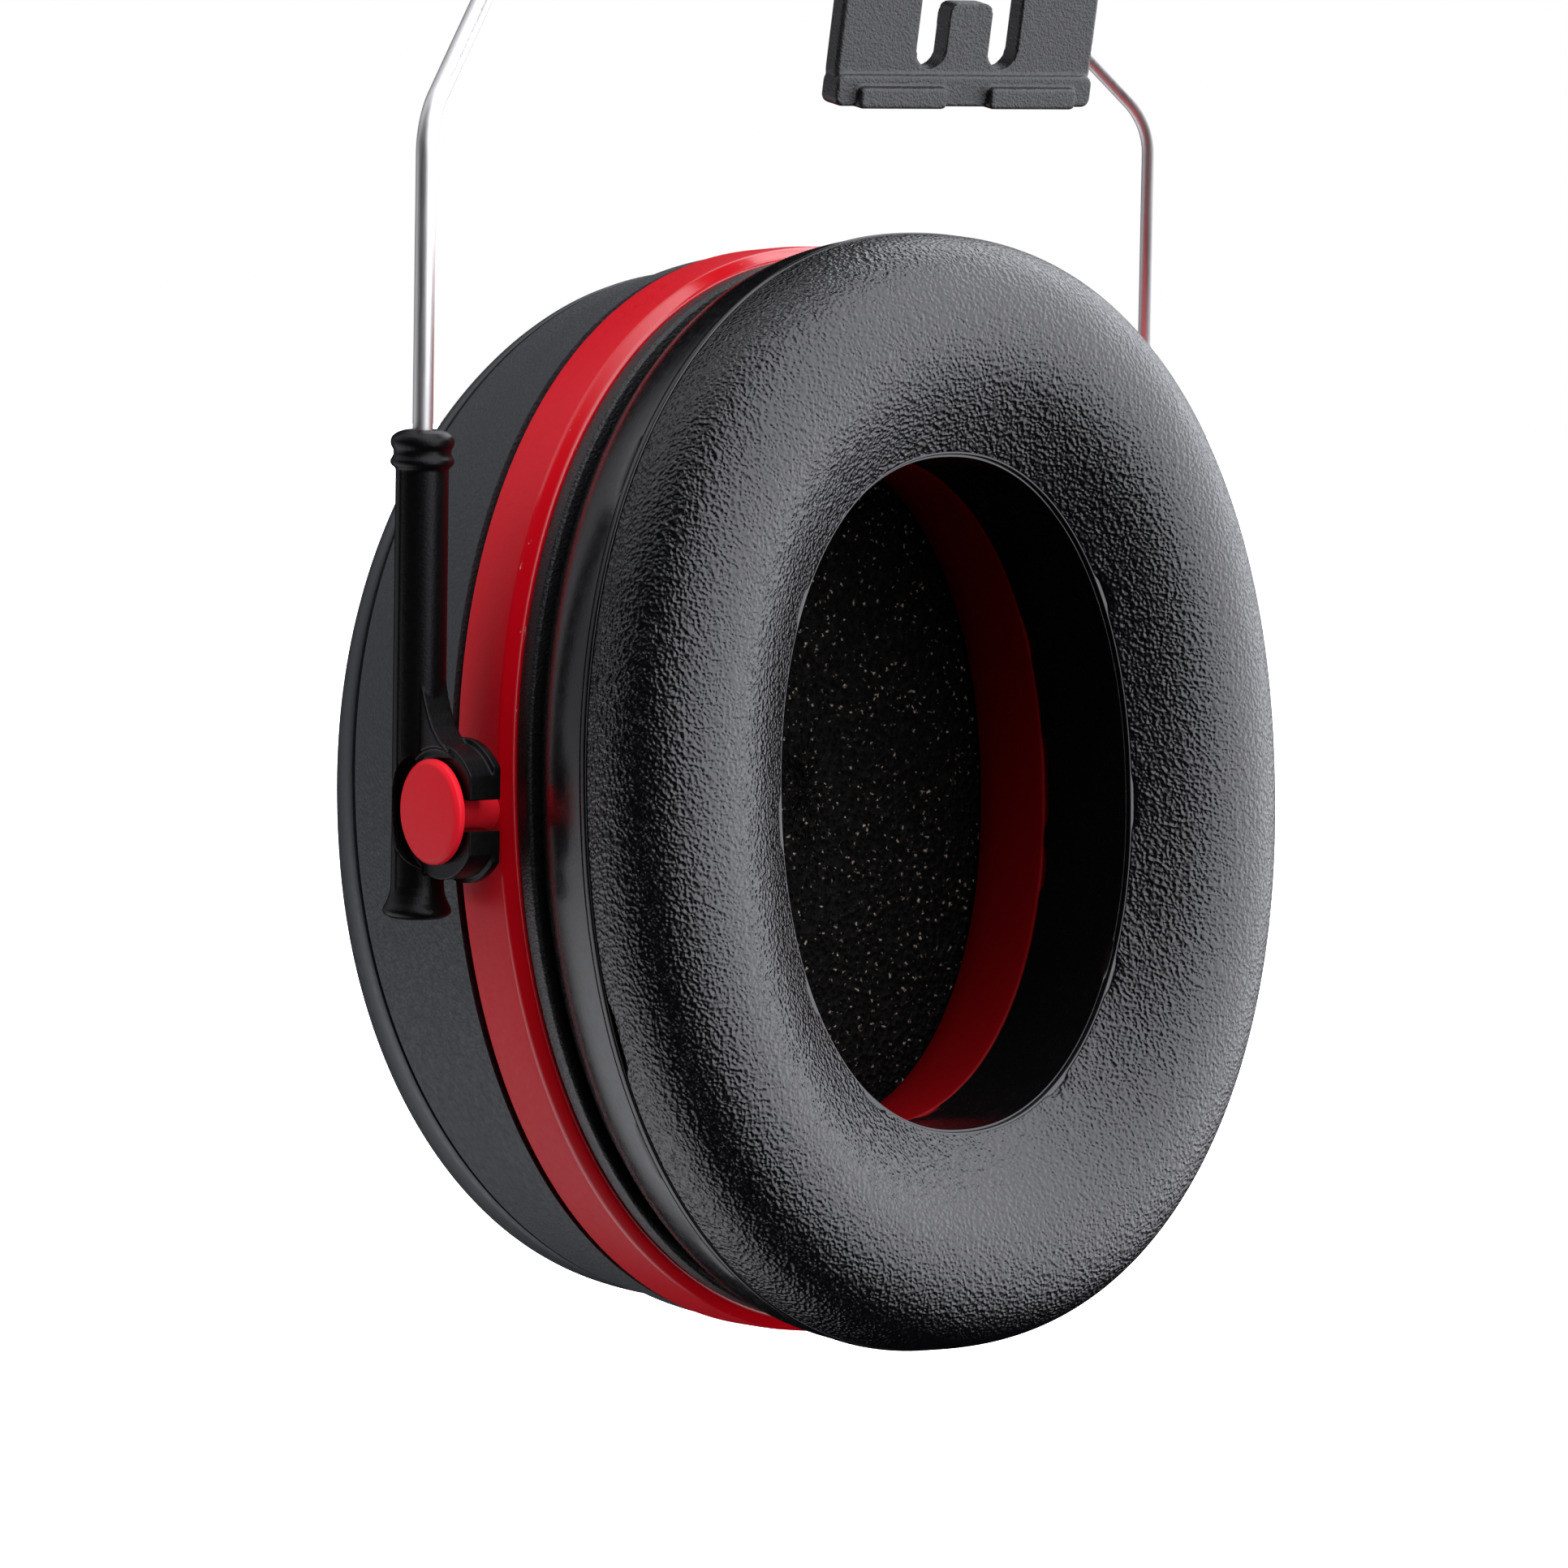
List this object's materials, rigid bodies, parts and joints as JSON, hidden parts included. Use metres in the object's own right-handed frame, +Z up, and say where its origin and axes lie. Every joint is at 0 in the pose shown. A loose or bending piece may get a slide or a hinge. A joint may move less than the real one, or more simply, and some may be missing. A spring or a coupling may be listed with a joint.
{
  "type": "earmuff hearing protector",
  "caption": "Helmet-mounted earmuff side: padded oval ear cup on a bent wire yoke with sliding holders, folding lever and snap-in helmet blade.",
  "frame": {"origin": "centre of the flat zone on the blade's front face, below the hub", "axes": "+Z up along the yoke's legs, +Y from the wearer's head outwards, X along the cup's tilt axis"},
  "size_m": [0.0966, 0.0789, 0.1752],
  "materials": {
    "shell_grey": "fine grained moulding, matt",
    "cover_grey": "satin moulding",
    "red_plastic": "satin moulding with a polished front edge",
    "black_rubber": "matt rubber",
    "black_plastic": "lightly textured moulding",
    "pvc_foil": "glossy foil with a fine leather grain",
    "open_cell_foam": "open-cell foam",
    "cushion_foam": "soft closed foam",
    "stainless_steel": "drawn stainless steel"
  },
  "bodies": {
    "blade": {"helmet_blade": "black_plastic"},
    "lever": {"lever_body": "black_plastic", "lever_cover": "cover_grey", "crown_cap": "black_plastic", "cap_screw_front": "stainless_steel", "cap_screw_rear": "stainless_steel", "flip_spring": "stainless_steel", "swivel_pin": "stainless_steel", "swivel_washer": "stainless_steel", "locking_ring": "stainless_steel"},
    "yoke": {"wire_yoke": "stainless_steel"},
    "holders": {"holder_front": "black_plastic", "holder_rear": "black_plastic"},
    "cup": {"outer_shell": "shell_grey", "shell_cover": "cover_grey", "shell_gasket": "black_rubber", "cup_ring": "red_plastic", "foam_pad": "open_cell_foam", "foam_block": "open_cell_foam", "cushion_plate": "black_plastic", "cushion_skirt": "pvc_foil", "cushion_face": "pvc_foil", "cushion_liner": "pvc_foil", "cushion_foam": "cushion_foam"}
  },
  "joints": [
    {"name": "lever_swivel", "type": "hinge", "parent": "blade", "child": "lever", "pos_m": [0, -0.0014, 0.02006], "axis": [0, 0.9848, 0.1736], "range_deg": [0, 180]},
    {"name": "yoke_flip", "type": "hinge", "parent": "lever", "child": "yoke", "pos_m": [0, 0.0465, 0.0147], "axis": [1, 0, 0], "range_deg": [0, 50], "stiffness_Nm_per_rad": 0.4, "springref_deg": -28.65},
    {"name": "height_slide", "type": "slide", "parent": "yoke", "child": "holders", "axis": [0, 0, 1], "range_m": [-0.017, 0.013]},
    {"name": "cup_tilt", "type": "hinge", "parent": "holders", "child": "cup", "pos_m": [0, 0.02455, -0.0876], "axis": [1, 0, 0], "range_deg": [-12, 15]}
  ]
}
